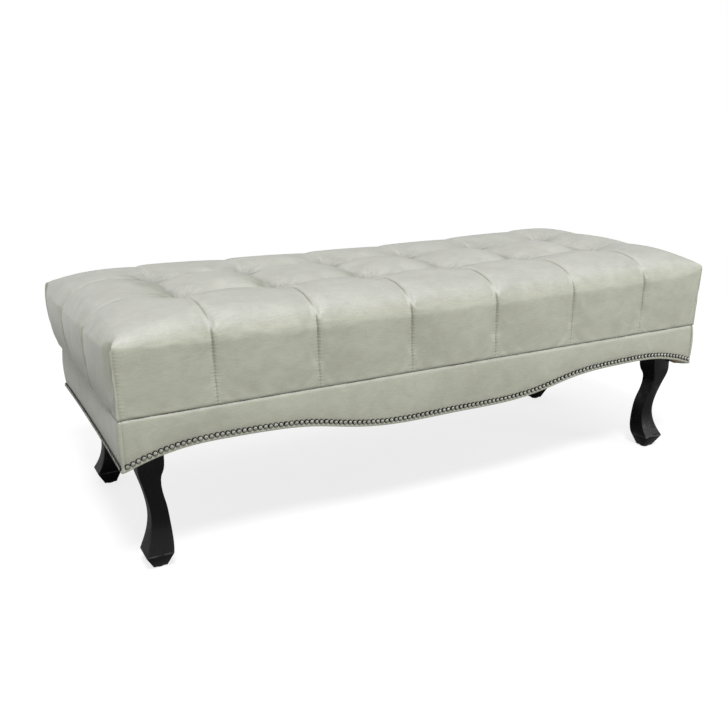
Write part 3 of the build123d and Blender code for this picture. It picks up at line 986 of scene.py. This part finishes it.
def grain_group():
    """Straight timber grain along X: a light and dark figure and its height."""
    group, given = new_group("timber grain", {"Place": "Vector", "Ring Width": "Float"})
    scaled = put(group, "ShaderNodeVectorMath", {0: given["Place"], 1: (0.9, 12, 12)},
                 operation="MULTIPLY").outputs[0]
    wander = noise(group, scaled, 3, 3, 0.55, 0.4)
    rings = calculate(group, "PINGPONG", calculate(group, "DIVIDE", wander, given["Ring Width"]), 1)
    fibres = noise(group, stretch(group, given["Place"], (18, 900, 900)), 1, 3, 0.6)
    figure = calculate(group, "MULTIPLY_ADD", rings, 0.65, times(group, fibres, 0.35))
    return close_group(group, Figure=figure, Height=fibres)


def speckle_group():
    """Fibres or granules in a flat sheet: a tone and a height."""
    group, given = new_group("fibre speckle", {"Place": "Vector", "Scale": "Float"})
    coarse = noise(group, given["Place"], given["Scale"], 4, 0.65, 0.5)
    cells = put(group, "ShaderNodeTexVoronoi", {"Vector": given["Place"], "Scale": given["Scale"]},
                feature="F1").outputs["Distance"]
    return close_group(group, Tone=coarse, Height=calculate(group, "MULTIPLY_ADD", cells, 0.5, coarse))


napped_cloth = nap_group()
stitch_puckers = pucker_group()
tuft_creases = crease_group()
timber_grain = grain_group()
fibre_speckle = speckle_group()


# ---------------------------------------------------------------- materials
def upholstery_cloth():
    """Pale napped cloth: random tone, painted sheen, light and shade, painted seam highlights, painted shade
    in its folds, thread lines, puckers and creases.
    """
    material, tree = finish_material("upholstery", 0.46, Sheen_Weight=0.35, Sheen_Roughness=0.4,
                                     Specular_IOR_Level=0.55)
    cloth = put(tree, "ShaderNodeUVMap", uv_map="cloth").outputs["UV"]
    sewn = axes_of(tree, kept_value(tree, "sewn"))
    nap = use_group(tree, napped_cloth, {"Cloth": cloth})
    facing = facing_axes(tree)
    # Painted sheen: surfaces facing up are paler and greyer.
    painted_sheen_and_wear = times(tree, spread(tree, facing["Z"], 0.35, 0.95), 0.6)
    colour = blend_colour(tree, painted_sheen_and_wear, (0.515, 0.527, 0.428, 1), (0.490, 0.490, 0.452, 1))
    # Painted light and shade: slopes facing the key lamp at the front left are lighter, slopes facing right
    # and back darker.
    twine_twist_and_painted_light_side = calculate(tree, "MULTIPLY_ADD", facing["X"], -0.8, times(tree, facing["Y"], -0.55))
    twine_twist_and_painted_light_side = times(tree, twine_twist_and_painted_light_side, spread(tree, facing["Z"], 0.25, 0.8))
    colour = blend_colour(tree, spread(tree, twine_twist_and_painted_light_side, 0.04, 0.40, 0, 0.45, False), colour, (0.67, 0.67, 0.625, 1))
    colour = blend_colour(tree, spread(tree, twine_twist_and_painted_light_side, 0.02, -0.20, 0, 0.85, False), colour, (0.29, 0.30, 0.22, 1))
    share = spread(tree, nap["Tone"], 0.36, 0.64, 0.435, 0.565)
    mottle = blend_colour(tree, share, (0.0, 0.0, 0.0, 1), (2.0, 2.0, 2.0, 1))
    colour = blend_colour(tree, 1.0, colour, mottle, "MULTIPLY")
    # Painted highlight along the seams on the top.
    painted_highlight_and_rub = times(tree, sewn["X"], spread(tree, facing["Z"], 0.3, 0.7, 0, 2.0))
    colour = blend_colour(tree, painted_highlight_and_rub, colour, (0.66, 0.66, 0.61, 1))
    # Painted shade in the seams, folds, tuft pits and the crease at the base, with the seams' dark thread
    # lines.
    colour = blend_colour(tree, sewn["Y"], colour, (0.11, 0.115, 0.085, 1))
    seams = ((axes_of(tree, cloth)["Y"], sewn["X"]), (axes_of(tree, object_place(tree))["Z"], sewn["Z"]))
    puckers = [use_group(tree, stitch_puckers, {"Along": along, "Closeness": closeness,
                                                "Pitch": stitch_pitch})["Height"]
               for along, closeness in seams]
    fan = use_group(tree, tuft_creases, {"From Tuft": kept_value(tree, "from_tuft")})["Height"]
    surface = bump(tree, calculate(tree, "MAXIMUM", *puckers), 0.0007, 0.7, bump(tree, fan, 0.004, 0.8))
    return connect(material, colour, bump(tree, nap["Height"], 0.0004, 0.5, surface))


def black_lacquer():
    """Gloss black over planed timber: faint brush lines, and a paler band along the toe ridge for wear and a
    painted highlight.
    """
    material, tree = finish_material("black_lacquer", 0.3, Specular_IOR_Level=0.18)
    place = object_place(tree)
    brushed = noise(tree, stretch(tree, place, (260, 260, 22)), 1, 3, 0.6)
    cloudy = noise(tree, place, 30, 3, 0.6)
    from_toe = calculate(tree, "ABSOLUTE", calculate(tree, "SUBTRACT", axes_of(tree, place)["Z"], toe_z))
    # Wear and a painted highlight along the toe ridge.
    painted_sheen_and_wear = times(tree, spread(tree, from_toe, 0.0, 0.0028, 1, 0), spread(tree, cloudy, 0.35, 0.65))
    return connect(material, blend_colour(tree, painted_sheen_and_wear, (0.005, 0.005, 0.006, 1), (0.12, 0.12, 0.125, 1)),
                   bump(tree, calculate(tree, "ADD", brushed, cloudy), 0.0003, 0.12),
                   spread(tree, brushed, 0.3, 0.7, 0.22, 0.40))


def antique_nails():
    """Dark antiqued metal, brighter at the top of each dome from rubbing and a painted highlight."""
    material, tree = finish_material("antique_nails", 0.35, Metallic=0.4)
    dome_height = kept_value(tree, "dome", "Fac")
    patina = noise(tree, object_place(tree), 700, 3, 0.6)
    # Rubbing and a painted highlight brighten the top of each dome.
    painted_highlight_and_rub = spread(tree, calculate(tree, "MULTIPLY_ADD", patina, 0.12, dome_height), 0.95, 1.02)
    return connect(material, blend_colour(tree, painted_highlight_and_rub, (0.004, 0.004, 0.003, 1), (0.40, 0.40, 0.35, 1)),
                   bump(tree, patina, 0.0002, 0.3), spread(tree, patina, 0.3, 0.7, 0.25, 0.45))


def timber(name, turned=False):
    """Sawn pine, its grain along X, or along Y when turned."""
    material, tree = finish_material(name, 0.6, Specular_IOR_Level=0.3)
    place = object_place(tree)
    if turned:
        place = put(tree, "ShaderNodeMapping", {"Vector": place, "Rotation": (0, 0, math.pi / 2)}).outputs[0]
    grain = use_group(tree, timber_grain, {"Place": place, "Ring Width": 0.12})
    figure = spread(tree, grain["Figure"], 0.2, 0.8)
    return connect(material, blend_colour(tree, figure, (0.50, 0.34, 0.19, 1), (0.66, 0.50, 0.32, 1)),
                   bump(tree, grain["Height"], 0.0004, 0.4),
                   spread(tree, grain["Height"], 0.3, 0.7, 0.5, 0.75))


def plywood():
    """Grain on the faces; thin alternating plies show on the cut edges."""
    material, tree = finish_material("plywood", 0.6, Specular_IOR_Level=0.3)
    place = object_place(tree)
    grain = use_group(tree, timber_grain, {"Place": place, "Ring Width": 0.2})
    edge = spread(tree, calculate(tree, "ABSOLUTE", facing_axes(tree)["Z"]), 0.3, 0.7, 1, 0)
    layers = calculate(tree, "SINE", times(tree, axes_of(tree, place)["Z"], math.tau / two_plies))
    plies = times(tree, times(tree, edge, spread(tree, layers, -0.3, 0.3)), 0.6)
    figure = spread(tree, grain["Figure"], 0.2, 0.8)
    colour = blend_colour(tree, figure, (0.44, 0.32, 0.19, 1), (0.62, 0.48, 0.31, 1))
    return connect(material, blend_colour(tree, plies, colour, (0.25, 0.16, 0.09, 1)),
                   bump(tree, grain["Height"], 0.0003, 0.3))


def speckled(name, light, dark, scale, roughness, **constants):
    """Flat fibrous or grained stuff: spunbond cloth, card, moulded plastic."""
    material, tree = finish_material(name, roughness, **constants)
    marks = use_group(tree, fibre_speckle, {"Place": object_place(tree), "Scale": scale})
    return connect(material, blend_colour(tree, spread(tree, marks["Tone"], 0.3, 0.7), dark, light),
                   bump(tree, marks["Height"], 0.0002, 0.5))


def twine():
    """Waxed twine: three strands twisted round each other."""
    material, tree = finish_material("tufting_twine", 0.6)
    axes = axes_of(tree, object_place(tree))
    twine_twist_and_painted_light_side = calculate(tree, "MULTIPLY_ADD", calculate(tree, "ADD", axes["X"], axes["Y"]), 1500,
                    times(tree, axes["Z"], 1900))
    strand = spread(tree, calculate(tree, "SINE", twine_twist_and_painted_light_side), -1, 1)
    return connect(material, blend_colour(tree, strand, (0.42, 0.38, 0.29, 1), (0.72, 0.69, 0.58, 1)),
                   bump(tree, strand, 0.0005, 0.6))


def plated_steel():
    """Zinc-plated steel, clouded, with fine turning lines."""
    material, tree = finish_material("fastener_steel", 0.35, Metallic=1.0)
    place = object_place(tree)
    cloudy = noise(tree, place, 160, 3, 0.6)
    turned = noise(tree, stretch(tree, place, (60, 60, 3000)), 1, 2, 0.5)
    return connect(material, blend_colour(tree, cloudy, (0.50, 0.51, 0.50, 1), (0.68, 0.68, 0.66, 1)),
                   bump(tree, turned, 0.0002, 0.3), spread(tree, cloudy, 0.3, 0.7, 0.25, 0.45))


def finish_nodes(names, material):
    """Give CAD nodes that stay in view their procedural material."""
    for name in names:
        holder = nodes[name]
        if not holder.material_slots:
            holder.data.materials.append(material)
        for each in holder.material_slots:
            each.material = material


# ---------------------------------------------------------------- camera, room and light
ambient = 0.27               # how strongly the white surroundings light the bench


def camera():
    """Stands at the front left, a little above the seat."""
    eye = (-1.002, -1.797, 0.867)
    turn, tilt, roll = math.radians(27.5), math.radians(16.32), math.radians(-0.73)
    view = bpy.data.cameras.new("camera")
    view.lens = 42.53
    view.sensor_width = 36
    view.clip_end = 50
    holder = add_object("camera", view)
    facing = Matrix.Rotation(-turn, 4, "Z") @ Matrix.Rotation(math.pi / 2 - tilt, 4, "X")
    holder.matrix_world = Matrix.Translation(eye) @ facing @ Matrix.Rotation(roll, 4, "Z")
    bpy.context.scene.camera = holder


def softbox(name, place, aim, size, energy):
    """A rectangular lamp that points at a place."""
    lamp = bpy.data.lights.new(name, "AREA")
    lamp.shape = "RECTANGLE"
    lamp.size, lamp.size_y = size
    lamp.energy = energy
    holder = add_object(name, lamp)
    holder.location = place
    holder.rotation_euler = (Vector(aim) - Vector(place)).to_track_quat("-Z", "Y").to_euler()


def seen_rays(tree):
    """Whether a ray comes from the eye, straight or through glass, and whether it is a reflection."""
    rays = put(tree, "ShaderNodeLightPath").outputs
    eye = calculate(tree, "MAXIMUM", rays["Is Camera Ray"], rays["Is Transmission Ray"])
    return eye, rays["Is Glossy Ray"]


def room():
    """White surroundings for the eye and for reflections, and a plain soft light."""
    bpy.context.scene.view_settings.view_transform = "Standard"
    world = bpy.data.worlds.new("room")
    bpy.context.scene.world = world
    world.use_nodes = True
    tree = world.node_tree
    backdrop = tree.nodes["Background"]
    backdrop.inputs["Color"].default_value = (1, 1, 1, 1)
    seen = calculate(tree, "MAXIMUM", *seen_rays(tree))
    tree.links.new(spread(tree, seen, 0, 1, ambient, 1, False), backdrop.inputs["Strength"])

    bpy.ops.mesh.primitive_plane_add(size=80)
    floor = bpy.context.object
    floor.name = "floor"
    material = bpy.data.materials.new("floor")
    material.use_nodes = True
    tree = material.node_tree
    tree.nodes.remove(tree.nodes["Principled BSDF"])
    lit = put(tree, "ShaderNodeBsdfDiffuse", {"Color": (0.42, 0.42, 0.42, 1)})
    from_bench = length_of(tree, object_place(tree))
    # Near the bench a reflection sees the floor without its glow, so that the legs stay dark.
    eye, reflection = seen_rays(tree)
    seen = calculate(tree, "MAXIMUM", eye, times(tree, reflection, spread(tree, from_bench, 0.7, 2.6)))
    far = spread(tree, from_bench, 1.5, 7.0, 0.78, 0.94)
    glow = put(tree, "ShaderNodeEmission", {"Strength": times(tree, seen, far)})
    both = put(tree, "ShaderNodeAddShader", {0: lit.outputs[0], 1: glow.outputs[0]})
    tree.links.new(both.outputs[0], tree.nodes["Material Output"].inputs["Surface"])
    floor.data.materials.append(material)
    softbox("key", (-1.15, -2.75, 4.2), (0.1, 0, 0.45), (1.1, 0.9), 127)
    softbox("above", (0.35, 0.2, 3.4), (0.1, 0, 0.45), (2.4, 1.4), 16)
    softbox("front", (2.3, -2.8, 0.9), (0.4, 0, 0.35), (1.4, 1.0), 25)


# ---------------------------------------------------------------- the bench
camera()
upholstery = upholstery_cloth()

cushion = seat_cushion()
cushion.data.materials.append(upholstery)
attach(cushion, "root")
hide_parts("seat_cover", "wadding", "foam_core")

nail = one_nail()
nail_metal = antique_nails()
nail.data.materials.append(nail_metal)
for side in SIDES:
    band = apron(side)
    band.data.materials.append(upholstery)
    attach(band, "root")
    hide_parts("apron_cover_" + side, "apron_padding_" + side)
    trim = nail_row(side, nail)
    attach(trim, "root")
    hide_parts("nail_trim_" + side)
bpy.data.objects.remove(nail)

lacquer = black_lacquer()
for corner in CORNERS:
    leg = turned_leg(corner)
    leg.data.materials.append(lacquer)
    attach(leg, "root")
    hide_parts("leg_" + corner)

under, flat_size = underside_cloth()
under.data.materials.append(speckled("dust_cloth", (0.035, 0.035, 0.037, 1), (0.014, 0.014, 0.015, 1),
                                     900, 0.9, Specular_IOR_Level=0.2))
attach(under, "root")
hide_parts("dust_cover")

finish_nodes(["rail_front", "rail_rear", "tuft_toggles"], timber("pine_along"))
finish_nodes(["rail_left", "rail_right", "cross_rail_left", "cross_rail_right"]
             + ["corner_block_" + corner for corner in CORNERS],
             timber("pine_across", turned=True))
finish_nodes(["seat_deck"], plywood())
finish_nodes(["tuft_cords"], twine())
finish_nodes(["t_nuts", "hanger_bolts"], plated_steel())
finish_nodes(["glide_" + corner for corner in CORNERS],
             speckled("glide_plastic", (0.06, 0.06, 0.06, 1), (0.035, 0.035, 0.036, 1), 500, 0.45))
finish_nodes(["tack_strips"],
             speckled("tack_card", (0.58, 0.49, 0.37, 1), (0.44, 0.36, 0.26, 1), 350, 0.9))

room()
